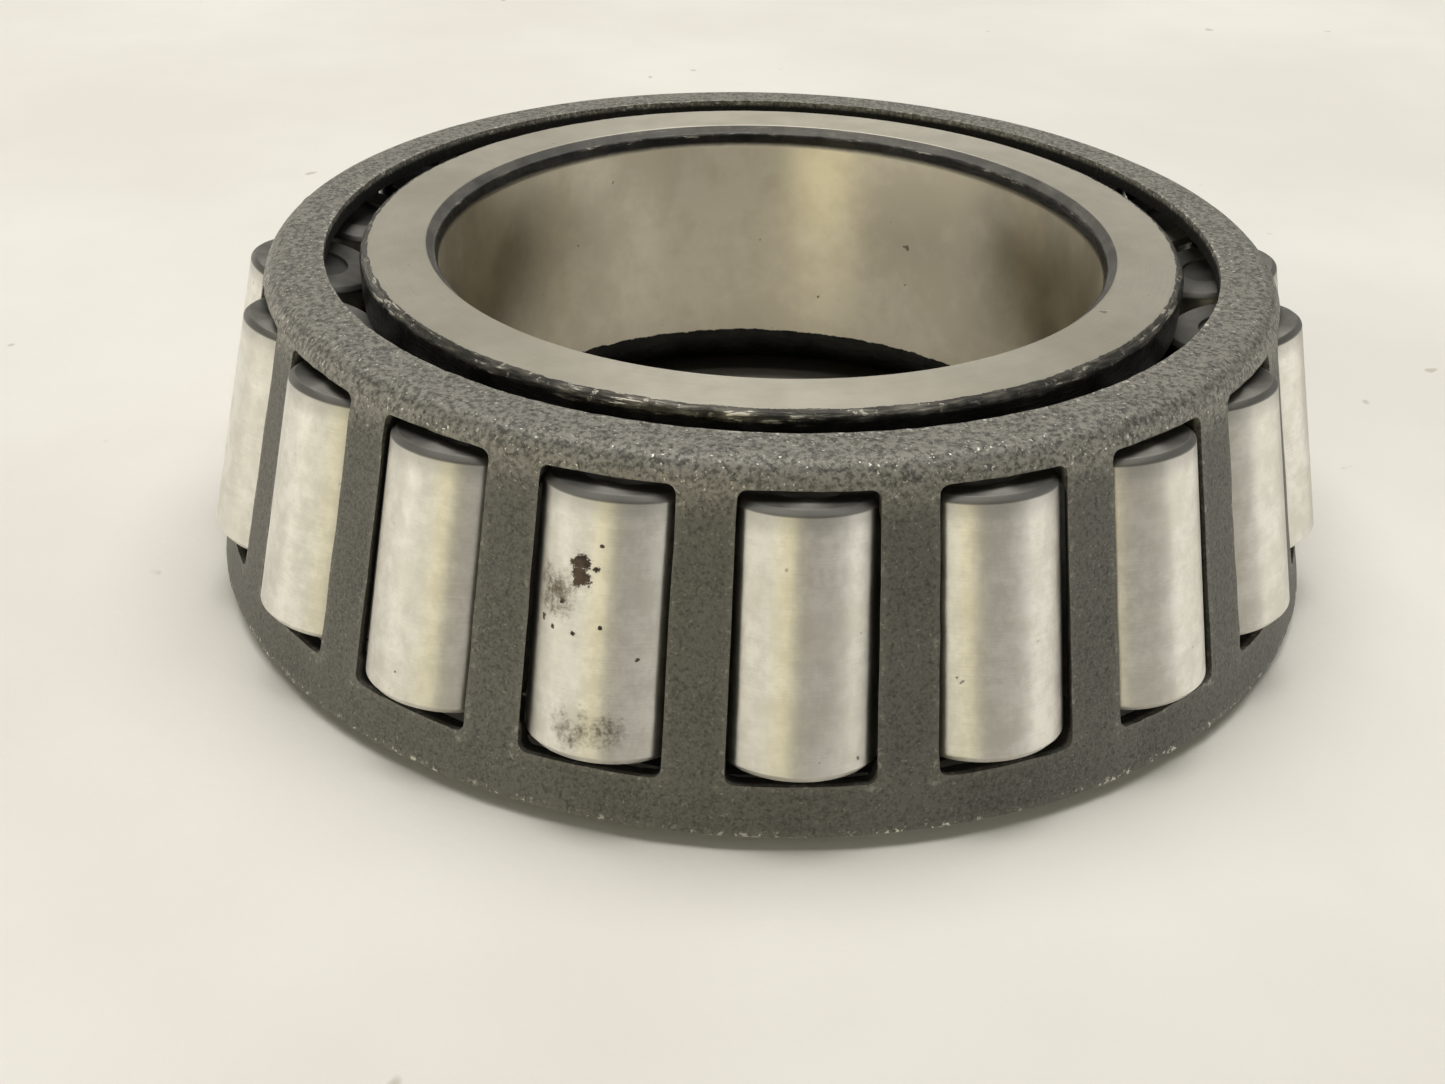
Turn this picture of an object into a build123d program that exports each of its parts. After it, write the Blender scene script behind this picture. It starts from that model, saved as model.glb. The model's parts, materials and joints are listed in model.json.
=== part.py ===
from build123d import *
from math import atan, cos, degrees, pi, radians, sin, tan
import os

# Cone assembly of a single-row tapered roller bearing: inner ring, cage and rollers.
# The bearing axis is Z, the back face lies at z = 0 and the rollers' small ends point up.

# overall sizes, mm and degrees
bore_radius = 38.1
cone_width = 36.1            # back face to front face
cup_angle = 14.2             # half angle of the cone that wraps the rollers

# inner ring
ring_wall = 7.3              # bore to the small end of the raceway
back_corner = 6.4            # rounding of the bore at the back face
front_chamfer = 1.1          # bore edge at the front face
lead_depth = 0.2             # slight lead-in below the front chamfer
lead_height = 1.1
small_rib_width = 5.5
small_rib_height = 1.3       # above the raceway
small_rib_corner = 1.1
large_rib_width = 4.6        # at its foot
large_rib_height = 4.6
large_rib_corner = 0.9
rib_edge = 0.3               # rounding where a rib side meets the rib's outer edge
groove_width = 1.2           # grinding relief at both ends of the raceway
groove_depth = 0.4

# rollers
roller_count = 20
roller_fill = 0.875          # roller width as a share of the roller pitch
small_corner = 0.5           # chamfer at the small end
large_corner = 0.8           # chamfer at the large end
dimple_radius = 3.6          # shallow recess in the small end
dimple_depth = 0.4
end_radius_share = 0.9       # crown radius of the large end over its distance to the apex

# cage, pressed from sheet
cage_thickness = 2.0
roller_stand = 2.2           # how far the rollers stand out of the cage
bend_radius = 2.8            # outside of the bend between cone and flange
flange_drop = 0.0            # flange top below the front face
rim_gap = 3.8                # small rib to the flange's inner rim
cage_band = 5.1              # solid band below the pockets
cage_edge = 0.3              # rounding of the sheet's cut edges
pocket_share = 0.705         # pocket width as a share of the roller pitch
pocket_corner = 0.9
pocket_top_gap = 1.1         # roller's small end to the pocket's upper end
pocket_foot_gap = 0.85       # roller's large end to the pocket's lower end

# running clearances
raceway_gap = 0.06           # roller to raceway
large_rib_gap = 0.05         # roller's crowned end to the large rib
small_rib_gap = 0.4          # end play towards the small rib
seat_gap = 0.15              # roller to the coined pocket edges

# Rollers, raceway and cup line share one apex on the bearing axis. Adjacent rollers fill the
# pitch by roller_fill, which sets the half angle of a roller.
cup_slope = radians(cup_angle)
fill = roller_fill * sin(pi / roller_count)
roller_slope = atan(fill * sin(cup_slope) / (1 + fill * cos(cup_slope)))
axis_slope = cup_slope - roller_slope            # roller axis against the bearing axis
raceway_slope = axis_slope - roller_slope

# distances from the apex along a roller's axis
small_rib_at = (bore_radius + ring_wall) * cos(roller_slope) / sin(raceway_slope)
rib_drop = cos(axis_slope) + tan(roller_slope) * sin(axis_slope)   # fall per unit along the axis
raceway_rise = cone_width - small_rib_width - large_rib_width
large_rib_at = small_rib_at + raceway_rise / rib_drop
small_side_at = small_rib_at + small_rib_gap + small_corner
crown_radius = end_radius_share * large_rib_at
end_crown = (large_rib_at * tan(roller_slope)) ** 2 / (2 * crown_radius)
large_side_at = large_rib_at - large_rib_gap - end_crown - large_corner
roller_side = large_side_at - small_side_at
apex_height = large_rib_width + large_rib_at * rib_drop


def beside_axis(distance, outward):
    """Point in the (r, z) half plane: along a roller's axis from the apex, then square to it."""
    return (
        distance * sin(axis_slope) + outward * cos(axis_slope),
        apex_height - distance * cos(axis_slope) + outward * sin(axis_slope),
    )


def above_raceway(distance, height):
    return beside_axis(distance, height - distance * tan(roller_slope))


def inside_cup(distance, depth):
    """Point in the (r, z) half plane: along the cup line from the apex, then inward from it."""
    return (
        distance * sin(cup_slope) - depth * cos(cup_slope),
        apex_height - distance * cos(cup_slope) - depth * sin(cup_slope),
    )


def turned(outline):
    """Ring turned about Z from corner points that each carry their own rounding."""
    with BuildPart() as ring:
        with BuildSketch(Plane.XZ):
            with BuildLine():
                corners = [corner for corner, rounding in outline]
                roundings = [rounding for corner, rounding in outline]
                FilletPolyline(*corners, radius=roundings, close=True)
            make_face()
        revolve(axis=Axis.Z)
    return ring.part


def inner_ring():
    small_rib_radius = bore_radius + ring_wall + small_rib_height
    large_rib_foot = above_raceway(large_rib_at, 0)
    large_rib_radius = large_rib_foot[0] + large_rib_height
    small_rib_side = (small_rib_radius - small_rib_at * sin(axis_slope)) / cos(axis_slope)
    large_rib_side = (large_rib_radius - large_rib_at * sin(axis_slope)) / cos(axis_slope)
    front = bore_radius + lead_depth
    return turned([
        ((bore_radius, 0), back_corner),
        ((bore_radius, cone_width - front_chamfer - lead_height), 0),
        ((front, cone_width - front_chamfer), 0),
        ((front + front_chamfer, cone_width), 0),
        ((small_rib_radius, cone_width), small_rib_corner),
        (beside_axis(small_rib_at, small_rib_side), rib_edge),
        (above_raceway(small_rib_at, -raceway_gap - groove_depth), 0),
        (above_raceway(small_rib_at + groove_width, -raceway_gap - groove_depth), 0),
        (above_raceway(small_rib_at + groove_width + groove_depth, -raceway_gap), 0),
        (above_raceway(large_rib_at - groove_width - groove_depth, -raceway_gap), 0),
        (above_raceway(large_rib_at - groove_width, -raceway_gap - groove_depth), 0),
        (above_raceway(large_rib_at, -raceway_gap - groove_depth), 0),
        (beside_axis(large_rib_at, large_rib_side), rib_edge),
        ((large_rib_radius, 0), large_rib_corner),
    ])


def roller():
    """Tapered roller about its own Z, from the large end of its side up to its small end."""
    large = large_side_at * tan(roller_slope)
    small = small_side_at * tan(roller_slope)
    top = roller_side + small_corner
    with BuildPart() as body:
        with BuildSketch(Plane.XZ):
            with BuildLine():
                Polyline(
                    (large - large_corner, -large_corner),
                    (large, 0),
                    (small, roller_side),
                    (small - small_corner, top),
                    (dimple_radius, top),
                    (dimple_radius, top - dimple_depth),
                    (0, top - dimple_depth),
                    (0, -large_corner - end_crown),
                )
                RadiusArc(
                    (0, -large_corner - end_crown),
                    (large - large_corner, -large_corner),
                    -crown_radius,
                )
            make_face()
        revolve(axis=Axis.Z)
    return body.part


def at_roller(number):
    """Places a roller's own frame: Z up its axis to the apex, X outward."""
    base_r, base_z = beside_axis(large_side_at, 0)
    turn = -90 + number * 360 / roller_count
    return Rot(0, 0, turn) * Pos(base_r, 0, base_z) * Rot(0, -degrees(axis_slope), 0)


def pocket_cut():
    """Window through the cage sheet and the coined seat in its edges, in a roller's frame."""
    low = -large_corner - pocket_foot_gap
    high = roller_side + small_corner + pocket_top_gap
    reach = large_side_at * tan(roller_slope) + roller_stand

    def half_width(height):
        distance = (large_side_at - height) / cos(roller_slope)
        surface = inside_cup(distance, roller_stand)[0]
        return pocket_share * pi * surface / roller_count

    with BuildPart() as cut:
        with BuildSketch(Plane.YZ):
            with BuildLine():
                Polyline(
                    (-half_width(low), low),
                    (half_width(low), low),
                    (half_width(high), high),
                    (-half_width(high), high),
                    close=True,
                )
            make_face()
            corners = vertices()
            fillet(corners, pocket_corner)
        extrude(amount=reach)
        with Locations((0, 0, (low + high) / 2)):
            Cone(
                bottom_radius=(large_side_at - low) * tan(roller_slope) + seat_gap,
                top_radius=(large_side_at - high) * tan(roller_slope) + seat_gap,
                height=high - low,
            )
    return cut.part


def cage():
    flange_top = cone_width - flange_drop
    inner_depth = roller_stand + cage_thickness
    rim_radius = bore_radius + ring_wall + small_rib_height + rim_gap
    cut_end = (large_side_at + large_corner + pocket_foot_gap) / cos(roller_slope)
    bottom = cut_end + cage_band

    def meets(height, depth):
        distance = (apex_height - height - depth * sin(cup_slope)) / cos(cup_slope)
        return inside_cup(distance, depth)

    shell = turned([
        (inside_cup(bottom, roller_stand), cage_edge),
        (meets(flange_top, roller_stand), bend_radius),
        ((rim_radius, flange_top), cage_edge),
        ((rim_radius, flange_top - cage_thickness), cage_edge),
        (meets(flange_top - cage_thickness, inner_depth), bend_radius - cage_thickness),
        (inside_cup(bottom, inner_depth), cage_edge),
    ])
    cut = pocket_cut()
    return shell - [at_roller(number) * cut for number in range(roller_count)]


os.makedirs("parts", exist_ok=True)
export_step(inner_ring(), "parts/inner_ring.step")
export_step(cage(), "parts/cage.step")
one_roller = roller()
for number in range(roller_count):
    export_step(at_roller(number) * one_roller, f"parts/roller_{number + 1:02d}.step")
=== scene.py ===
import json
import math

import bmesh
import bpy
from mathutils import Matrix, Vector, noise


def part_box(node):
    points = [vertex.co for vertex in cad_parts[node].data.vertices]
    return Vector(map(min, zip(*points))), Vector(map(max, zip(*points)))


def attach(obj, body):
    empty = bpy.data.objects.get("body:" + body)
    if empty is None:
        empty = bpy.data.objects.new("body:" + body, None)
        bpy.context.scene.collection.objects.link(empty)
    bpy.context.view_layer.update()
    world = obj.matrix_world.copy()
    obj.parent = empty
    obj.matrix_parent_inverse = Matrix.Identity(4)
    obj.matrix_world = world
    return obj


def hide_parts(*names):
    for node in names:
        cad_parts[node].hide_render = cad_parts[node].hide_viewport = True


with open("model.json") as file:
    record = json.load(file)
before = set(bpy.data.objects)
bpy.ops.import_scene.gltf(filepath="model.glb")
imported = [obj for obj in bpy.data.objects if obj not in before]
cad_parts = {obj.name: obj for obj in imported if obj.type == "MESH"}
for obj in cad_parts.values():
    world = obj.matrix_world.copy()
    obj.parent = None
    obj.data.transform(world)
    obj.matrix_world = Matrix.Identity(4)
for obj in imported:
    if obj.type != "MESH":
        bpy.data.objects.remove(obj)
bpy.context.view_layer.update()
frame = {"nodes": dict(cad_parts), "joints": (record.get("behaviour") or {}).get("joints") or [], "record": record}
mm = 0.001

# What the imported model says: the bore, the ring's width, and each roller's axis.
record = frame["record"]
joints = {joint["child"]: joint for joint in frame["joints"]}
rollerNames = sorted(name for name in frame["nodes"] if name.startswith("roller_"))
rollerCount = len(rollerNames)
boreRadius = next(m for m in record["mounts"] if m["name"] == "bore")["dims"]["r_mm"] * mm
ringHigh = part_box("inner_ring")[1]
coneWidth = ringHigh[2]

firstAxis = Vector(joints[rollerNames[0]]["axis"]).normalized()
firstPoint = Vector(joints[rollerNames[0]]["pos_m"])
axisSlope = math.acos(firstAxis.z)
apexHeight = firstPoint.z + math.hypot(firstPoint.x, firstPoint.y) / math.tan(axisSlope)

bearing = {
    "cupSlope": math.radians(14.2),      # half angle of the cone that wraps the rollers
    "ringWall": 7.3 * mm,                # bore to the small end of the raceway
    "smallRib": 5.5 * mm,                # width of the rib at the front face
    "largeRib": 4.6 * mm,                # width of the rib at the back face, at its foot
    "smallGap": 0.4 * mm,                # roller end to the small rib
    "largeGap": 0.05 * mm,
    "racewayGap": 0.06 * mm,
}
cupSlope = bearing["cupSlope"]
rollerSlope = cupSlope - axisSlope
racewaySlope = axisSlope - rollerSlope
fallAlongAxis = math.cos(axisSlope) + math.tan(rollerSlope) * math.sin(axisSlope)
smallRibAt = (boreRadius + bearing["ringWall"]) * math.cos(rollerSlope) / math.sin(racewaySlope)
raceRise = coneWidth - bearing["smallRib"] - bearing["largeRib"]
largeRibAt = smallRibAt + raceRise / fallAlongAxis


def besideAxis(distance, outward):
    # (radius, height) of a point along a roller's axis from the apex, then square to it
    return (
        distance * math.sin(axisSlope) + outward * math.cos(axisSlope),
        apexHeight - distance * math.cos(axisSlope) + outward * math.sin(axisSlope),
    )


def aboveRaceway(distance, height):
    return besideAxis(distance, height - distance * math.tan(rollerSlope))


def insideCup(distance, depth):
    return (
        distance * math.sin(cupSlope) - depth * math.cos(cupSlope),
        apexHeight - distance * math.cos(cupSlope) - depth * math.sin(cupSlope),
    )


def selectNothing():
    if bpy.context.object and bpy.context.object.mode != "OBJECT":
        bpy.ops.object.mode_set(mode="OBJECT")
    bpy.ops.object.select_all(action="DESELECT")


def selectOnly(piece):
    selectNothing()
    piece.select_set(True)
    bpy.context.view_layer.objects.active = piece


def applyModifiers(piece):
    selectOnly(piece)
    for modifier in list(piece.modifiers):
        bpy.ops.object.modifier_apply(modifier=modifier.name)


def pickEdges(test):
    # in edit mode: selects the edges whose middle and ends pass the test
    mesh = bmesh.from_edit_mesh(bpy.context.object.data)
    bpy.ops.mesh.select_all(action="DESELECT")
    for edge in mesh.edges:
        edge.select_set(test(edge.verts[0].co, edge.verts[1].co))
    mesh.select_flush_mode()
    bmesh.update_edit_mesh(bpy.context.object.data)


def turned(name, corners, steps, closed):
    # a ring of edges is drawn out and scaled from corner to corner, then the corners are rounded
    clearance = 0.01 * mm
    selectNothing()
    radius, height = corners[0][:2]
    bpy.ops.mesh.primitive_circle_add(vertices=steps, radius=radius, fill_type="NOTHING")
    piece = bpy.context.object
    piece.name = name
    bpy.ops.object.mode_set(mode="EDIT")
    bpy.ops.mesh.select_mode(type="EDGE")
    bpy.ops.mesh.select_all(action="SELECT")
    bpy.ops.transform.translate(value=(0, 0, height))
    for nextRadius, nextHeight in [corner[:2] for corner in corners[1:]]:
        bpy.ops.mesh.extrude_region_move(
            TRANSFORM_OT_translate={"value": (0, 0, nextHeight - height)})
        scale = nextRadius / radius
        bpy.ops.transform.resize(value=(scale, scale, 1), center_override=(0, 0, nextHeight))
        radius, height = nextRadius, nextHeight
    if closed:
        bpy.ops.mesh.select_all(action="DESELECT")
        bpy.ops.mesh.select_non_manifold()
        bpy.ops.mesh.bridge_edge_loops()
    else:
        for end in (corners[-1], corners[0]):
            pickEdges(lambda a, b, end=end: all(
                abs(v.z - end[1]) < clearance and abs(v.xy.length - end[0]) < clearance
                for v in (a, b)))
            bpy.ops.mesh.extrude_region_move(TRANSFORM_OT_translate={"value": (0, 0, 0)})
            bpy.ops.mesh.merge(type="CENTER")
    for cornerRadius, cornerHeight, rounding, segments in corners:
        if rounding:
            pickEdges(lambda a, b: all(
                abs(v.z - cornerHeight) < clearance and abs(v.xy.length - cornerRadius) < clearance
                for v in (a, b)))
            bpy.ops.mesh.bevel(offset=rounding, segments=segments, affect="EDGES")
    bpy.ops.mesh.select_all(action="SELECT")
    bpy.ops.mesh.remove_doubles(threshold=0.001 * mm)
    bpy.ops.mesh.normals_make_consistent(inside=False)
    bpy.ops.object.mode_set(mode="OBJECT")
    return piece


def smooth(piece, degrees):
    # the broken edges take the shading's turn, so that the faces between them look flat
    selectOnly(piece)
    bpy.ops.object.shade_smooth_by_angle(angle=math.radians(degrees))
    flat = piece.modifiers.new("flatFaces", "WEIGHTED_NORMAL")
    flat.keep_sharp = True
    applyModifiers(piece)


def finishPiece(piece, body, slotName, material, *nodes):
    piece.data.materials.clear()
    piece.data.materials.append(material)
    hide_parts(*nodes)
    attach(piece, body)


class Wire:
    # a socket that takes part in sums, as a number does
    def __init__(self, finish, socket):
        self.finish = finish
        self.socket = socket

    def math(self, operation, *others, clamp=False):
        inputs = {0: self}
        inputs.update({place + 1: other for place, other in enumerate(others)})
        return self.finish.add(
            "ShaderNodeMath", {"operation": operation, "use_clamp": clamp}, inputs)

    def __add__(self, other):
        return self.math("ADD", other)

    def __radd__(self, other):
        return self.math("ADD", other)

    def __sub__(self, other):
        return self.math("SUBTRACT", other)

    def __rsub__(self, other):
        return self.finish.add("ShaderNodeMath", {"operation": "SUBTRACT"}, {0: other, 1: self})

    def __mul__(self, other):
        return self.math("MULTIPLY", other)

    def __rmul__(self, other):
        return self.math("MULTIPLY", other)

    def __truediv__(self, other):
        return self.math("DIVIDE", other)

    def __pow__(self, other):
        return self.math("POWER", other)

    def output(self, name):
        return Wire(self.finish, self.socket.node.outputs[name])


class Finish:
    # one node material with its principled shader
    def __init__(self, name):
        self.material = bpy.data.materials.new(name)
        self.material.use_nodes = True
        self.tree = self.material.node_tree
        self.tree.nodes.clear()
        self.shader = self.tree.nodes.new("ShaderNodeBsdfPrincipled")
        out = self.tree.nodes.new("ShaderNodeOutputMaterial")
        self.tree.links.new(self.shader.outputs[0], out.inputs["Surface"])

    def feed(self, socket, value):
        if isinstance(value, Wire):
            self.tree.links.new(value.socket, socket)
        else:
            socket.default_value = value

    def add(self, kind, settings=None, inputs=None, output=0):
        node = self.tree.nodes.new(kind)
        for key, value in (settings or {}).items():
            if key == "stops":
                ramp = node.color_ramp
                while len(ramp.elements) < len(value):
                    ramp.elements.new(0.5)
                for element, (place, colour) in zip(ramp.elements, value):
                    element.position = place
                    element.color = colour
            else:
                setattr(node, key, value)
        for key, value in (inputs or {}).items():
            self.feed(node.inputs[key], value)
        return Wire(self, node.outputs[output])

    def set(self, **values):
        for key, value in values.items():
            self.feed(self.shader.inputs[key.replace("_", " ")], value)

    def position(self):
        point = self.add("ShaderNodeTexCoord", output="Object")
        parts = self.add("ShaderNodeSeparateXYZ", inputs={0: point})
        return point, parts.output("X"), parts.output("Y"), parts.output("Z")

    def vector(self, x, y, z):
        return self.add("ShaderNodeCombineXYZ", inputs={0: x, 1: y, 2: z})

    def grain(self, where, scale, detail=3.0, roughness=0.5, fourth=None):
        inputs = {"Vector": where, "Scale": scale, "Detail": detail, "Roughness": roughness}
        if fourth:
            inputs["W"] = fourth
        return self.add(
            "ShaderNodeTexNoise", {"noise_dimensions": "4D" if fourth else "3D"}, inputs)

    def rise(self, value, low, high):
        # 0 below low, 1 above high, or the other way round if low is the larger
        return self.add("ShaderNodeMapRange", {"interpolation_type": "SMOOTHSTEP"}, {
            "Value": value, "From Min": low, "From Max": high, "To Min": 0.0, "To Max": 1.0})

    def mix(self, mask, first, second):
        return self.add("ShaderNodeMix", {"data_type": "RGBA", "clamp_factor": True},
                        {0: mask, 6: first, 7: second}, output=2)

    def bump(self, height, strength, distance):
        return self.add("ShaderNodeBump", inputs={
            "Height": height, "Strength": strength, "Distance": distance})


cameraSeat = {
    "place": (-13.52 * mm, -179.49 * mm, 103.9 * mm),
    "turn": math.radians(-2.83),         # about the bearing's axis, from looking along +Y
    "tilt": math.radians(-31.52),
    "roll": math.radians(1.50),
    "lens": 40.73,
}


def placeCamera(seat):
    data = bpy.data.cameras.new("camera")
    data.lens = seat["lens"]
    data.sensor_width = 36.0
    data.clip_start = 0.01
    camera = bpy.data.objects.new("camera", data)
    bpy.context.scene.collection.objects.link(camera)
    look = (Matrix.Rotation(seat["turn"], 3, "Z")
            @ Matrix.Rotation(math.pi / 2 + seat["tilt"], 3, "X")
            @ Matrix.Rotation(seat["roll"], 3, "Z"))
    camera.location = seat["place"]
    camera.rotation_euler = look.to_euler()
    bpy.context.scene.camera = camera
    bpy.context.scene.view_settings.view_transform = "Standard"
    bpy.context.scene.view_settings.look = "None"


placeCamera(cameraSeat)
print("camera placed")


# a panel's azimuth is counted from the camera's side towards the right, in degrees
studio = {
    "ambient": (1.0, 0.98, 0.95, 1.0),
    "ambientStrength": 0.07,
    "wallStrength": 0.72,
    "aim": (0.0, 0.0, 0.02),
    "panels": [
        # name, azimuth, elevation, distance, width, tall, brightness, colour
        ("overhead", 180, 80, 1.75, 2.0, 1.1, 4.3, (1.0, 0.985, 0.95)),
        ("backLow", 180, 26, 1.8, 3.2, 0.8, 0.90, (1.0, 0.97, 0.88)),
        ("leftBack", -120, 6, 1.6, 1.7, 0.36, 2.6, (1.0, 0.97, 0.90)),
        ("leftHigh", -86, 19, 1.6, 0.7, 0.36, 1.8, (1.0, 0.95, 0.88)),
        ("leftSoft", -62, 6, 1.6, 1.65, 0.36, 3.2, (1.0, 0.965, 0.84)),
        ("warmKey", -24, 17, 1.6, 0.64, 0.58, 3.2, (1.0, 0.91, 0.56)),
        ("frontDark", 17, 8, 1.6, 1.0, 0.45, 0.30, (1.0, 1.0, 1.0)),
        ("rightHigh", 55, 20, 1.6, 0.90, 0.50, 1.3, (1.0, 1.0, 0.95)),
        ("rightSoft", 88, 6, 1.6, 1.80, 0.36, 3.2, (1.0, 0.98, 0.92)),
    ],
}


def makeSky(settings):
    # a faint even light, and a far wall that looks as pale as the floor but lights nothing
    world = bpy.data.worlds.new("studio")
    bpy.context.scene.world = world
    world.use_nodes = True
    nodes, links = world.node_tree.nodes, world.node_tree.links
    faint, farWall = nodes["Background"], nodes.new("ShaderNodeBackground")
    for sky, strength in ((faint, "ambientStrength"), (farWall, "wallStrength")):
        sky.inputs["Color"].default_value = settings["ambient"]
        sky.inputs["Strength"].default_value = settings[strength]
    seen = nodes.new("ShaderNodeLightPath")
    both = nodes.new("ShaderNodeMixShader")
    links.new(seen.outputs["Is Camera Ray"], both.inputs[0])
    links.new(faint.outputs[0], both.inputs[1])
    links.new(farWall.outputs[0], both.inputs[2])
    links.new(both.outputs[0], nodes["World Output"].inputs["Surface"])


def lightStudio(settings):
    for name, azimuth, elevation, distance, width, tall, brightness, colour in settings["panels"]:
        data = bpy.data.lights.new(name, "AREA")
        data.shape = "RECTANGLE"
        data.size = width
        data.size_y = tall
        data.energy = brightness * math.pi * width * tall
        data.color = colour
        lamp = bpy.data.objects.new(name, data)
        turn, lift = math.radians(azimuth), math.radians(elevation)
        lamp.location = distance * Vector((
            math.cos(lift) * math.sin(turn), -math.cos(lift) * math.cos(turn), math.sin(lift)))
        aim = Vector(settings["aim"]) - lamp.location
        lamp.rotation_euler = aim.to_track_quat("-Z", "Y").to_euler()
        bpy.context.scene.collection.objects.link(lamp)


makeSky(studio)
lightStudio(studio)


floorPaper = {
    "size": 6.0,
    "shadeInside": 6 * mm,               # painted shade: a dark band drawn on the floor under the ring's rounded back corner, counted from the bore
    "shadeOutside": 15 * mm,             # counted from the bore
    "shadeFade": 5 * mm,
}


def paperFinish(settings):
    paper = Finish("palePaper")
    point, x, y, _ = paper.position()
    cloud = paper.grain(point, 9.0, 4.0, 0.55)
    fibre = paper.grain(point, 900.0, 3.0, 0.6)
    speck = paper.rise(paper.grain(point, 160.0, 2.0, 0.4), 0.755, 0.79)
    tone = paper.mix(paper.rise(cloud, 0.35, 0.7), (0.78, 0.755, 0.70, 1), (0.86, 0.84, 0.79, 1))
    tone = paper.mix(speck * 0.55, tone, (0.42, 0.38, 0.30, 1))
    radius = (x * x + y * y) ** 0.5
    inner = boreRadius - settings["shadeInside"]
    outer = boreRadius + settings["shadeOutside"]
    fade = settings["shadeFade"]
    # painted shade: the floor is drawn dark in a band round the bore, under the ring's back corner
    paintedShadeUnderRing = paper.rise(radius, inner, inner + fade) * paper.rise(radius, outer, outer - fade)
    tone = paper.mix(paintedShadeUnderRing, tone, (0.09, 0.085, 0.07, 1))
    paper.set(Base_Color=tone, Roughness=0.62 + fibre * 0.2)
    paper.set(Specular_IOR_Level=0.3)
    paper.set(Normal=paper.bump(fibre + cloud * 2.0, 0.25, 0.2 * mm))
    return paper.material


def makeFloor(settings):
    selectNothing()
    bpy.ops.mesh.primitive_plane_add(size=settings["size"], location=(0, 0, 0))
    floor = bpy.context.object
    floor.name = "floor"
    floor.data.materials.append(paperFinish(settings))


makeFloor(floorPaper)
print("studio lit")


ring = {
    "steps": 256,
    "backCorner": 6.4 * mm,
    "frontChamfer": 1.1 * mm,
    "leadDepth": 0.2 * mm,
    "leadHeight": 1.1 * mm,
    "smallRibHeight": 1.3 * mm,
    "smallRibCorner": 1.1 * mm,
    "largeRibCorner": 0.9 * mm,
    "ribEdge": 0.3 * mm,
    "groundEdge": 0.12 * mm,             # tiny break where two ground faces meet
    "grooveWidth": 1.2 * mm,
    "grooveDepth": 0.4 * mm,
}
smallRibRadius = boreRadius + bearing["ringWall"] + ring["smallRibHeight"]
largeRibRadius = ringHigh[0]


def makeRing(settings):
    front = boreRadius + settings["leadDepth"]
    smallSide = (smallRibRadius - smallRibAt * math.sin(axisSlope)) / math.cos(axisSlope)
    largeSide = (largeRibRadius - largeRibAt * math.sin(axisSlope)) / math.cos(axisSlope)
    gap = bearing["racewayGap"]
    width, depth = settings["grooveWidth"], settings["grooveDepth"]
    edge = settings["groundEdge"]
    chamferLow = coneWidth - settings["frontChamfer"]
    corners = [
        (boreRadius, 0.0, settings["backCorner"], 14),
        (boreRadius, chamferLow - settings["leadHeight"], edge, 2),
        (front, chamferLow, edge, 2),
        (front + settings["frontChamfer"], coneWidth, edge, 2),
        (smallRibRadius, coneWidth, settings["smallRibCorner"], 6),
        (*besideAxis(smallRibAt, smallSide), settings["ribEdge"], 3),
        (*aboveRaceway(smallRibAt, -gap - depth), 0, 0),
        (*aboveRaceway(smallRibAt + width, -gap - depth), 0, 0),
        (*aboveRaceway(smallRibAt + width + depth, -gap), edge, 2),
        (*aboveRaceway(largeRibAt - width - depth, -gap), edge, 2),
        (*aboveRaceway(largeRibAt - width, -gap - depth), 0, 0),
        (*aboveRaceway(largeRibAt, -gap - depth), 0, 0),
        (*besideAxis(largeRibAt, largeSide), settings["ribEdge"], 3),
        (largeRibRadius, 0.0, settings["largeRibCorner"], 5),
    ]
    piece = turned("innerRing", corners, settings["steps"], closed=True)
    smooth(piece, 30)
    return piece


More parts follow.
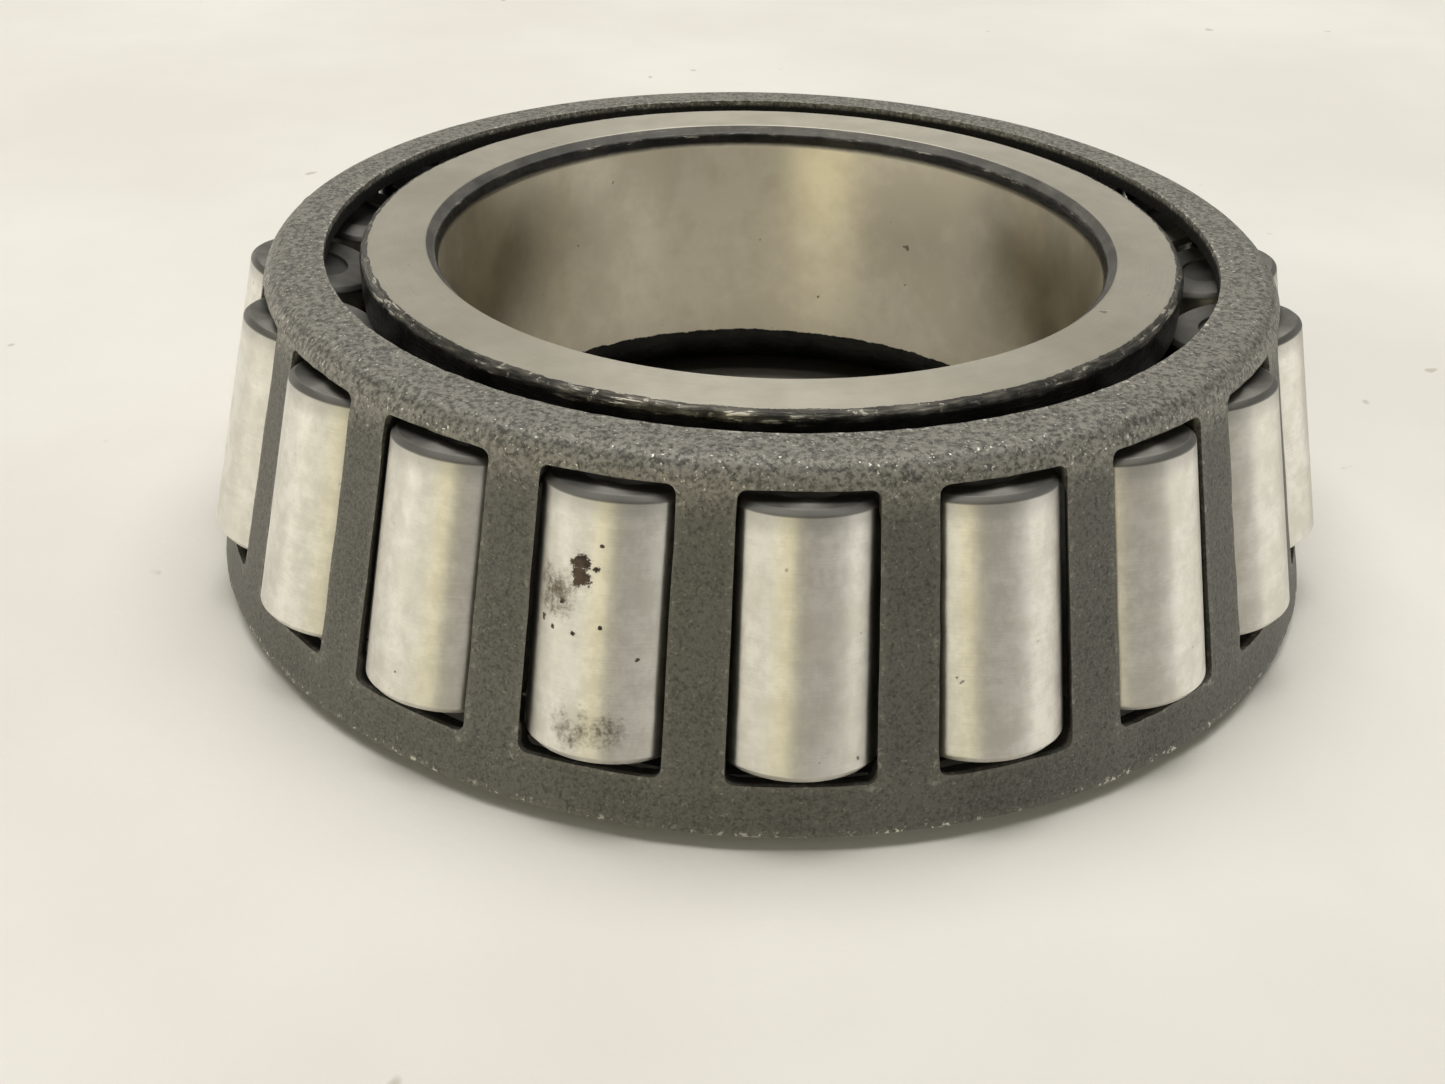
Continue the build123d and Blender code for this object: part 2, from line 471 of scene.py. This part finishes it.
def ringFinish(settings, name, brushing, dullness):
    steel = Finish(name)
    point, x, y, z = steel.position()
    radius = (x * x + y * y) ** 0.5
    ragged = steel.grain(point, 520.0, 4.0, 0.7) - 0.5
    wobble = ragged * (0.9 * mm)
    rim = 0.12 * mm                      # depth in which a face is told from its edge
    pastBore, pastRace = boreRadius + 4 * mm, boreRadius + 8 * mm

    # ground surfaces: front face, bore, raceway, large rib face and back face
    faceOut = smallRibRadius - settings["smallRibCorner"]
    frontFace = (steel.rise(z, coneWidth - rim, coneWidth - 0.3 * rim)
                 * steel.rise(radius + wobble, faceOut + 0.20 * mm, faceOut + 0.10 * mm))
    chamferLow = coneWidth - settings["frontChamfer"]
    boreTop = chamferLow - settings["leadHeight"]
    boreWall = (steel.rise(radius, boreRadius + rim, boreRadius + 0.3 * rim)
                * steel.rise(z + wobble, settings["backCorner"], settings["backCorner"] + rim)
                * steel.rise(z + wobble * 0.3, boreTop + 0.3 * mm, boreTop - 0.5 * mm))
    onRace = radius - (apexHeight - z) * math.tan(racewaySlope)
    raceway = (steel.rise(onRace, 0.35 * mm, 0.2 * mm) * steel.rise(onRace, -0.3 * mm, -0.15 * mm)
               * steel.rise(radius, pastBore, pastBore + 1 * mm))
    along = radius * math.sin(axisSlope) + (apexHeight - z) * math.cos(axisSlope)
    ribFace = (steel.rise(along, largeRibAt - 0.15 * mm, largeRibAt - 0.05 * mm)
               * steel.rise(along, largeRibAt + 0.3 * mm, largeRibAt + 0.15 * mm)
               * steel.rise(radius, pastRace, pastRace + 1 * mm))
    backFace = (steel.rise(z, rim, 0.3 * rim)
                * steel.rise(radius + wobble, largeRibRadius - 0.7 * mm, largeRibRadius - 0.9 * mm))
    ground = frontFace + boreWall + raceway + ribFace + backFace
    ground = ground.math("MINIMUM", 1.0)
    chamfer = (steel.rise(z + wobble * 0.2, chamferLow + 0.10 * mm, chamferLow + 0.30 * mm)
               * steel.rise(radius, boreRadius + 2.5 * mm, boreRadius + 2 * mm))

    # grinding lines run round the ring, with soft stains over them
    reach = 6.0
    lines = steel.grain(steel.vector(x / radius * reach, y / radius * reach, radius * 9000.0),
                        1.0, 3.0, 0.65, fourth=z * 9000.0)
    haze = steel.grain(point, 260.0, 4.0, 0.65)
    cloud = steel.grain(point, 55.0, 4.0, 0.55)
    pits = steel.rise(steel.grain(point, 620.0, 2.0, 0.5), 0.75, 0.79)
    groundTone = steel.mix(steel.rise(haze * 0.6 + lines * 0.4, 0.3, 0.7),
                           (0.420, 0.395, 0.335, 1), (0.505, 0.478, 0.412, 1))
    groundTone = steel.mix(steel.rise(cloud, 0.42, 0.68) * 0.45, groundTone,
                           (0.36, 0.335, 0.27, 1))
    groundTone = steel.mix(boreWall * 0.9, groundTone,
                           steel.mix(steel.rise(cloud * 0.6 + haze * 0.4, 0.4, 0.6),
                                     (0.67, 0.62, 0.505, 1), (0.78, 0.73, 0.61, 1)))
    groundTone = steel.mix(pits * 0.45, groundTone, (0.13, 0.11, 0.08, 1))

    # unground corners keep their dark scale, rubbed grey and scratched beside the front face
    score = steel.grain(steel.vector(x / radius * 18.0, y / radius * 18.0, radius * 2600.0),
                        1.0, 3.0, 0.6, fourth=z * 2600.0)
    knocked = steel.grain(point, 130.0, 3.0, 0.6)
    worn = steel.rise(z + (knocked - 0.5) * (2.2 * mm) + (score - 0.5) * (1.2 * mm),
                      coneWidth - 1.15 * mm, coneWidth - 0.35 * mm)
    scratches = steel.rise(score, 0.57, 0.63) * steel.rise(knocked, 0.44, 0.56)
    chips = steel.rise(steel.grain(point, 1100.0, 3.0, 0.6), 0.62, 0.68)
    bright = (scratches + chips * 0.6).math("MINIMUM", 1.0) * worn
    scaleTone = steel.mix(steel.rise(haze, 0.35, 0.7), (0.010, 0.010, 0.009, 1),
                          (0.026, 0.025, 0.023, 1))
    scaleTone = steel.mix(worn * 0.8, scaleTone, steel.mix(
        steel.rise(score * 0.6 + haze * 0.4, 0.42, 0.6), (0.050, 0.047, 0.040, 1),
        (0.160, 0.150, 0.125, 1)))
    scaleTone = steel.mix(bright, scaleTone, (0.55, 0.52, 0.44, 1))
    scaleTone = steel.mix(chamfer * 0.9, scaleTone,
                          steel.mix(steel.rise(haze, 0.35, 0.65), (0.120, 0.115, 0.106, 1),
                                    (0.175, 0.170, 0.157, 1)))

    steel.set(Base_Color=steel.mix(ground, scaleTone, groundTone))
    steel.set(Metallic=0.75 + ground * 0.25)
    groundRough = dullness + (haze - 0.5) * 0.10 + (cloud - 0.5) * 0.10 + pits * 0.3
    scaleRough = 0.36 + (haze - 0.5) * 0.3 + (chamfer + worn * 0.6) * 0.16
    steel.set(Roughness=scaleRough * (1 - ground) + groundRough * ground)
    steel.set(Anisotropic=brushing, Anisotropic_Rotation=0.25)
    dents = (score * 1.1 + haze * 0.5 + knocked * 1.2) * (1 - ground) * (1 - chamfer * 0.8)
    height = dents + (lines * 0.06 + haze * 0.07 + cloud * 0.25 - pits * 0.5) * ground
    steel.set(Normal=steel.bump(height, 0.55, 0.35 * mm))
    return steel.material


ringPiece = makeRing(ring)
finishPiece(ringPiece, "inner_ring", "ring_steel", ringFinish(ring, "ringSteel", 0.45, 0.50),
            "inner_ring")
ringPiece.data.materials.append(ringFinish(ring, "boreSteel", 0.95, 0.35))
boreEnd = coneWidth - ring["frontChamfer"] - ring["leadHeight"]
wallTouch = 0.05 * mm
for face in ringPiece.data.polygons:
    onWall = face.center.xy.length < boreRadius + wallTouch
    face.material_index = 1 if onWall and ring["backCorner"] < face.center.z < boreEnd else 0
print("inner ring made")


roller = {
    "steps": 96,
    "smallCorner": 0.5 * mm,
    "largeCorner": 0.8 * mm,
    "dimpleRadius": 3.6 * mm,
    "dimpleDepth": 0.4 * mm,
    "crownShare": 0.9,
    "breakEdge": 0.14 * mm,
    "stained": len(rollerNames) - 1,     # the roller with rust marks
    "rust": [
        # angle on the roller in degrees, share of its height, radius
        (-9.0, 0.75, 0.95 * mm),
        (-7.0, 0.70, 0.90 * mm),
        (3.0, 0.74, 0.30 * mm),
        (-22.0, 0.59, 0.24 * mm),
        (-40.0, 0.50, 0.30 * mm),
        (-29.0, 0.48, 0.19 * mm),
        (-11.0, 0.48, 0.20 * mm),
        (8.0, 0.52, 0.18 * mm),
        (35.0, 0.40, 0.20 * mm),
        (6.0, 0.83, 0.18 * mm),
    ],
    "smudges": [
        (-7.0, 0.11, 1.5 * mm),
        (16.0, 0.11, 1.3 * mm),
        (-30.0, 0.62, 1.8 * mm),
    ],
}
smallSideAt = smallRibAt + bearing["smallGap"] + roller["smallCorner"]
crownRadius = roller["crownShare"] * largeRibAt
endCrown = (largeRibAt * math.tan(rollerSlope)) ** 2 / (2 * crownRadius)
largeSideAt = largeRibAt - bearing["largeGap"] - endCrown - roller["largeCorner"]
rollerSide = largeSideAt - smallSideAt


def rollerPlace(number):
    # the roller's own frame: Z up its axis to the apex, X outward
    baseRadius, baseHeight = besideAxis(largeSideAt, 0)
    turn = math.radians(-90 + number * 360 / rollerCount)
    return (Matrix.Rotation(turn, 4, "Z")
            @ Matrix.Translation((baseRadius, 0, baseHeight))
            @ Matrix.Rotation(-axisSlope, 4, "Y"))


def makeRoller(settings):
    large = largeSideAt * math.tan(rollerSlope)
    small = smallSideAt * math.tan(rollerSlope)
    smallCorner, largeCorner = settings["smallCorner"], settings["largeCorner"]
    edge = settings["breakEdge"]
    top = rollerSide + smallCorner
    dimple, depth = settings["dimpleRadius"], settings["dimpleDepth"]
    share = 0.55                         # a ring on the crowned end, part of the way out
    corners = [
        (large * share, -largeCorner - endCrown * (1 - share ** 2), 0, 0),
        (large - largeCorner, -largeCorner, edge, 2),
        (large, 0.0, edge, 2),
        (small, rollerSide, edge, 2),
        (small - smallCorner, top, edge, 2),
        (dimple, top, edge, 2),
        (dimple, top - depth, 0, 0),
        (dimple * 0.4, top - depth, 0, 0),
    ]
    piece = turned("rollerPattern", corners, settings["steps"], closed=False)
    # the circle brings a map of its own, and the material reads the first one
    while piece.data.uv_layers:
        piece.data.uv_layers.remove(piece.data.uv_layers[0])
    layer = piece.data.uv_layers.new(name="wrap")
    for loop in piece.data.loops:
        place = piece.data.vertices[loop.vertex_index].co
        layer.data[loop.index].uv = (
            math.atan2(place.y, place.x) / (2 * math.pi) + 0.5, place.z / rollerSide)
    smooth(piece, 30)
    return piece


def markPlace(settings, degrees, share):
    height = share * rollerSide
    out = (largeSideAt - height) * math.tan(rollerSlope)
    angle = math.radians(degrees)
    return rollerPlace(settings["stained"]) @ Vector(
        (out * math.cos(angle), out * math.sin(angle), height))


def markMask(finish, point, settings, marks, ragged, soft):
    # 1 inside any of the marks, whose outlines are broken up by the ragged noise
    mask = None
    for degrees, share, size in marks:
        apart = finish.add("ShaderNodeVectorMath", {"operation": "DISTANCE"},
                           {0: point, 1: tuple(markPlace(settings, degrees, share))},
                           output="Value")
        spot = finish.rise(apart / size + ragged, 1.0 + soft, 1.0 - soft)
        mask = mask.math("MAXIMUM", spot) if mask else spot
    return mask


def rollerFinish(settings):
    steel = Finish("rollerSteel")
    point, _, _, z = steel.position()
    wrap = steel.add("ShaderNodeTexCoord", output="UV")
    parts = steel.add("ShaderNodeSeparateXYZ", inputs={0: wrap})
    around, up = parts.output("X"), parts.output("Y")
    lines = steel.grain(steel.vector(around * 14.0, up * 420.0, z * 40.0), 1.0, 4.0, 0.7)
    rubbed = steel.grain(steel.vector(around * 16.0, up * 3.0, z * 60.0), 1.0, 4.0, 0.6)
    haze = steel.grain(point, 420.0, 4.0, 0.7)
    cloud = steel.grain(point, 150.0, 3.0, 0.55)
    speck = steel.rise(steel.grain(point, 900.0, 2.0, 0.4), 0.735, 0.765)
    cluster = steel.rise(steel.grain(point, 60.0, 2.0, 0.5), 0.50, 0.66)

    ragged = (steel.grain(point, 1500.0, 4.0, 0.8) - 0.5) * 3.6
    rust = markMask(steel, point, settings, settings["rust"], ragged, 0.16)
    smudge = markMask(steel, point, settings, settings["smudges"], ragged * 0.8, 0.7)

    tone = steel.mix(steel.rise(haze * 0.45 + lines * 0.25 + rubbed * 0.3, 0.41, 0.59),
                     (0.585, 0.565, 0.510, 1), (0.735, 0.715, 0.660, 1))
    tone = steel.mix(steel.rise(cloud, 0.45, 0.65) * 0.35, tone, (0.56, 0.535, 0.46, 1))
    tone = steel.mix(speck * cluster * 0.8, tone, (0.12, 0.10, 0.075, 1))
    tone = steel.mix(smudge * steel.rise(haze, 0.36, 0.54) * 0.95, tone, (0.15, 0.125, 0.09, 1))
    tone = steel.mix(rust, tone, steel.mix(steel.rise(haze, 0.4, 0.6), (0.030, 0.020, 0.013, 1),
                                           (0.085, 0.058, 0.036, 1)))
    cornerShare = settings["smallCorner"] / rollerSide
    # painted shade: the roller drawn darker towards its small end, under the cage's flange
    tone = steel.mix(steel.rise(up, 0.90, 0.99) * 0.5, tone, (0.30, 0.29, 0.27, 1))
    ends = steel.rise(up, 1.0 - 0.5 * cornerShare, 1.0)
    corner = ends * steel.rise(up, 1.0 + 0.98 * cornerShare, 1.0 + 0.8 * cornerShare)
    # painted shade: the roller's end drawn darker than its side, and its chamfer darker still, which dims the
    # chamfer's bright reflection
    tone = steel.mix(ends, tone, steel.mix(steel.rise(cloud * 0.5 + haze * 0.5, 0.35, 0.65),
                                           (0.170, 0.165, 0.150, 1), (0.260, 0.252, 0.230, 1)))
    tone = steel.mix(corner, tone, (0.140, 0.136, 0.125, 1))
    steel.set(Base_Color=tone)
    dull = rust.math("MAXIMUM", ends * 0.35)
    steel.set(Metallic=1.0 - dull * 0.9)
    rough = 0.44 + (rubbed - 0.5) * 0.14 + (haze - 0.5) * 0.12 + ends * 0.12 + smudge * 0.1
    steel.set(Roughness=rough * (1 - rust) + 0.8 * rust)
    steel.set(Anisotropic=0.8, Anisotropic_Rotation=0.25)
    height = lines * 0.05 + haze * 0.16 + cloud * 0.2 - rust * 0.6 - speck * cluster * 0.5
    steel.set(Normal=steel.bump(height, 0.5, 0.2 * mm))
    return steel.material


rollerSteel = rollerFinish(roller)
rollerPattern = makeRoller(roller)
for number, name in enumerate(rollerNames):
    copy = rollerPattern.copy()
    copy.data = rollerPattern.data.copy()
    copy.data.transform(rollerPlace(number))
    copy.name = f"taperRoller{number + 1:02d}"
    bpy.context.scene.collection.objects.link(copy)
    finishPiece(copy, name, "roller_steel", rollerSteel, name)
bpy.data.objects.remove(rollerPattern)
print("rollers made")


cage = {
    "thickness": 2.0 * mm,
    "rollerStand": 2.2 * mm,             # how far the rollers stand out of it
    "bendRadius": 2.8 * mm,
    "flangeDrop": 0.0,
    "rimGap": 3.8 * mm,
    "band": 5.1 * mm,
    "pocketShare": 0.705,
    "pocketCorner": 0.9 * mm,
    "pocketTopGap": 1.1 * mm,
    "pocketFootGap": 1.15 * mm,
    "seatGap": 0.45 * mm,                # roller to the coined pocket edges
    "edge": 0.2 * mm,
    "barColumns": 4,
    "pocketColumns": 12,
    "pocketRows": 10,
    "bendRows": 8,
}


class Meridian:
    # the outer line of the pressed sheet: flange, bend and cone, walked by its length
    def __init__(self, settings):
        self.top = coneWidth - settings["flangeDrop"]
        self.rim = smallRibRadius + settings["rimGap"]
        stand = settings["rollerStand"]
        cornerAt = (apexHeight - self.top - stand * math.sin(cupSlope)) / math.cos(cupSlope)
        self.corner = insideCup(cornerAt, stand)[0]
        self.bend = settings["bendRadius"]
        self.turn = math.pi / 2 - cupSlope
        tangent = self.bend * math.tan(self.turn / 2)
        self.flangeLength = self.corner - tangent - self.rim
        self.bendLength = self.bend * self.turn
        self.coneStart = cornerAt + tangent
        topReach = roller["smallCorner"] + settings["pocketTopGap"]
        footReach = roller["largeCorner"] + settings["pocketFootGap"]
        cutTop = (smallSideAt - topReach) / math.cos(rollerSlope)
        cutEnd = (largeSideAt + footReach) / math.cos(rollerSlope)
        start = self.flangeLength + self.bendLength - self.coneStart
        self.pocketTop = cutTop + start
        self.pocketEnd = cutEnd + start
        self.length = cutEnd + settings["band"] + start

    def at(self, walked):
        if walked < self.flangeLength:
            return self.rim + walked, self.top
        walked -= self.flangeLength
        if walked < self.bendLength:
            angle = walked / self.bend
            middle = self.rim + self.flangeLength
            return (middle + self.bend * math.sin(angle),
                    self.top - self.bend * (1 - math.cos(angle)))
        walked -= self.bendLength
        return insideCup(self.coneStart + walked, cage["rollerStand"])


def makeCage(settings):
    line = Meridian(settings)
    pitch = 2 * math.pi / rollerCount
    flatRadius = line.at((line.pocketTop + line.pocketEnd) / 2)[0]
    half = pitch / 2 * flatRadius
    pocketHalf = settings["pocketShare"] * half

    # one pocket's share of the sheet is laid out flat, cut, then wrapped to the cage's shape
    selectNothing()
    bpy.ops.mesh.primitive_plane_add(size=1.0)
    piece = bpy.context.object
    piece.name = "pressedCage"
    bpy.ops.object.mode_set(mode="EDIT")
    bpy.ops.mesh.select_all(action="SELECT")
    bpy.ops.transform.resize(value=(2 * half, line.length, 1))
    bpy.ops.transform.translate(value=(0, line.length / 2, 0))

    def cutAcross(place, direction):
        bpy.ops.mesh.select_all(action="SELECT")
        bpy.ops.mesh.bisect(plane_co=place, plane_no=direction)

    def spaced(start, end, count):
        return [start + (end - start) * step / count for step in range(1, count)]

    barHalf = settings["barColumns"] // 2
    columns = (spaced(-half, -pocketHalf, barHalf) + [-pocketHalf]
               + spaced(-pocketHalf, pocketHalf, settings["pocketColumns"]) + [pocketHalf]
               + spaced(pocketHalf, half, barHalf))
    bendStart, bendEnd = line.flangeLength, line.flangeLength + line.bendLength
    rows = (spaced(0, bendStart, 3) + [bendStart]
            + spaced(bendStart, bendEnd, settings["bendRows"]) + [bendEnd, line.pocketTop]
            + spaced(line.pocketTop, line.pocketEnd, settings["pocketRows"]) + [line.pocketEnd]
            + spaced(line.pocketEnd, line.length, 4))
    for column in columns:
        cutAcross((column, 0, 0), (1, 0, 0))
    for row in rows:
        cutAcross((0, row, 0), (0, 1, 0))

    # the window goes out, and its four corners are rounded
    mesh = bmesh.from_edit_mesh(piece.data)
    bpy.ops.mesh.select_mode(type="FACE")
    bpy.ops.mesh.select_all(action="DESELECT")
    for face in mesh.faces:
        middle = face.calc_center_median()
        face.select_set(abs(middle.x) < pocketHalf and line.pocketTop < middle.y < line.pocketEnd)
    bmesh.update_edit_mesh(piece.data)
    bpy.ops.mesh.delete(type="FACE")
    bpy.ops.mesh.select_mode(type="VERT")
    mesh = bmesh.from_edit_mesh(piece.data)
    bpy.ops.mesh.select_all(action="DESELECT")
    touch = 0.01 * mm
    for vertex in mesh.verts:
        onSide = abs(abs(vertex.co.x) - pocketHalf) < touch
        onEnd = min(abs(vertex.co.y - line.pocketTop), abs(vertex.co.y - line.pocketEnd)) < touch
        vertex.select_set(onSide and onEnd)
    bmesh.update_edit_mesh(piece.data)
    bpy.ops.mesh.bevel(offset=settings["pocketCorner"], segments=4, affect="VERTICES",
                       offset_type="OFFSET")
    bpy.ops.object.mode_set(mode="OBJECT")

    for vertex in piece.data.vertices:
        radius, height = line.at(vertex.co.y)
        angle = vertex.co.x / flatRadius - math.pi / 2
        vertex.co = (radius * math.cos(angle), radius * math.sin(angle), height)

    selectOnly(piece)
    bpy.ops.object.mode_set(mode="EDIT")
    bpy.ops.mesh.select_all(action="SELECT")
    bpy.ops.mesh.spin(steps=rollerCount, angle=2 * math.pi, center=(0, 0, 0), axis=(0, 0, 1),
                      dupli=True)
    bpy.ops.mesh.select_all(action="SELECT")
    bpy.ops.mesh.remove_doubles(threshold=0.02 * mm)
    bpy.ops.mesh.normals_make_consistent(inside=False)
    bpy.ops.object.mode_set(mode="OBJECT")
    topFace = max(piece.data.polygons, key=lambda face: face.center.z)
    if topFace.normal.z < 0:
        selectOnly(piece)
        bpy.ops.object.mode_set(mode="EDIT")
        bpy.ops.mesh.select_all(action="SELECT")
        bpy.ops.mesh.flip_normals()
        bpy.ops.object.mode_set(mode="OBJECT")

    sheet = piece.modifiers.new("sheet", "SOLIDIFY")
    sheet.thickness = settings["thickness"]
    sheet.offset = -1.0
    sheet.use_even_offset = True
    broken = piece.modifiers.new("brokenEdges", "BEVEL")
    broken.width = settings["edge"]
    broken.segments = 2
    broken.limit_method = "ANGLE"
    broken.angle_limit = math.radians(50)
    applyModifiers(piece)
    return piece, line


def roughenCage(piece):
    # pressing and punching leave the sheet slightly uneven, most of all along its cut edges
    wave, waveScale = 0.04 * mm, 90
    nick, nickScale = 0.08 * mm, 700
    smallFace = (0.5 * mm) ** 2          # only the broken edges have faces as small as this
    noise.seed_set(20)                   # unseeded, the sheet would differ from run to run
    wear = piece.data.attributes.new("wear", "FLOAT", "POINT")
    cutEdges = set()
    for polygon in piece.data.polygons:
        if polygon.area < smallFace:
            cutEdges.update(polygon.vertices)
    for vertex in piece.data.vertices:
        place = vertex.co.copy()
        wear.data[vertex.index].value = 1.0 if vertex.index in cutEdges else 0.0
        shift = noise.noise_vector(place * waveScale) * wave
        if vertex.index in cutEdges:
            shift += noise.noise_vector(place * nickScale) * nick
        vertex.co = place + shift


def coinSeats(piece, settings):
    # each pocket's edges are pushed out to the roller that they hold
    low, high = -roller["largeCorner"], rollerSide + roller["smallCorner"]
    places = [rollerPlace(number) for number in range(rollerCount)]
    inward = [place.inverted() for place in places]
    pitch = 2 * math.pi / rollerCount
    for vertex in piece.data.vertices:
        turn = math.atan2(vertex.co.y, vertex.co.x) + math.pi / 2
        number = round(turn / pitch) % rollerCount
        spot = inward[number] @ vertex.co
        seat = (largeSideAt - spot.z) * math.tan(rollerSlope) + settings["seatGap"]
        apart = math.hypot(spot.x, spot.y)
        if low < spot.z < high and apart < seat:
            spot.xy = spot.xy * (seat / apart)
            vertex.co = places[number] @ spot


cagePiece, cageLine = makeCage(cage)
roughenCage(cagePiece)
coinSeats(cagePiece, cage)
smooth(cagePiece, 40)
cageFoot = cageLine.at(cageLine.length)[1]
cageRim = cageLine.rim


def cageFinish(settings):
    sheet = Finish("darkSheet")
    point, x, y, z = sheet.position()
    radius = (x * x + y * y) ** 0.5
    fine = sheet.grain(point, 3400.0, 2.0, 0.6)
    coarse = sheet.grain(point, 1900.0, 3.0, 0.65)
    cloud = sheet.grain(point, 120.0, 3.0, 0.5)
    pits = sheet.rise(sheet.grain(point, 1700.0, 1.0, 0.5), 0.37, 0.30)
    glint = sheet.rise(sheet.grain(point, 2600.0, 2.0, 0.5), 0.665, 0.71)
    bend = sheet.rise(z, coneWidth - 6.0 * mm, coneWidth - 1.2 * mm)
    wear = sheet.add("ShaderNodeAttribute", {"attribute_name": "wear"}, output="Fac")
    edge = sheet.rise(wear, 0.35, 0.9)
    chips = sheet.rise(sheet.grain(point, 1500.0, 3.0, 0.7), 0.57, 0.63)
    knocked = sheet.rise(sheet.grain(point, 70.0, 2.0, 0.5), 0.46, 0.6)
    foot = sheet.rise(z, cageFoot + 0.75 * mm, cageFoot + 0.25 * mm)
    rim = sheet.rise(radius, cageRim + 0.70 * mm, cageRim + 0.25 * mm)
    chipped = chips * (edge * 0.22 + (foot + rim) * (0.35 + knocked))

    # how deep a spot lies under the sheet's outer face: walls of the pockets and the inside, which get painted
    # shade
    depth = (apexHeight - z) * math.sin(cupSlope) - radius * math.cos(cupSlope)
    stand = settings["rollerStand"]
    inside = (sheet.rise(depth, stand + 0.3 * mm, stand + 1.0 * mm)
              * sheet.rise(z, coneWidth - 0.3 * mm, coneWidth - 0.9 * mm))

    base = sheet.mix(sheet.rise(cloud * 0.3 + coarse * 0.7, 0.38, 0.62),
                     (0.066, 0.063, 0.054, 1), (0.112, 0.108, 0.095, 1))
    base = sheet.mix(sheet.rise(fine, 0.38, 0.66) * 0.5, base, (0.160, 0.154, 0.136, 1))
    # painted sheen: the bend drawn lighter in colour
    base = sheet.mix(bend * sheet.rise(coarse, 0.36, 0.62) * 0.6, base, (0.35, 0.332, 0.286, 1))
    base = sheet.mix(pits * 0.35, base, (0.028, 0.026, 0.021, 1))
    # painted highlight: bright glints drawn into the colour, most of them on the bend
    glintMask = glint * (0.15 + bend * 0.6)
    base = sheet.mix(glintMask, base, (0.70, 0.68, 0.60, 1))
    base = sheet.mix(edge * 0.12, base, (0.26, 0.25, 0.21, 1))
    base = sheet.mix(chipped, base, (0.60, 0.58, 0.51, 1))
    # painted shade: pocket walls and the cage's inside drawn near black
    base = sheet.mix(inside * 0.95, base, (0.010, 0.0095, 0.008, 1))
    sheet.set(Base_Color=base)
    sheet.set(Metallic=0.35 + glintMask * 0.5)
    sheet.set(Roughness=0.58 - glintMask * 0.22 + (cloud - 0.5) * 0.1 + inside * 0.2)
    height = fine * 0.35 + coarse * 1.0 - pits * 0.5 + cloud * 0.4
    sheet.set(Normal=sheet.bump(height, 0.6, 0.12 * mm))
    return sheet.material


finishPiece(cagePiece, "cage", "cage_steel", cageFinish(cage), "cage")
print("cage made")
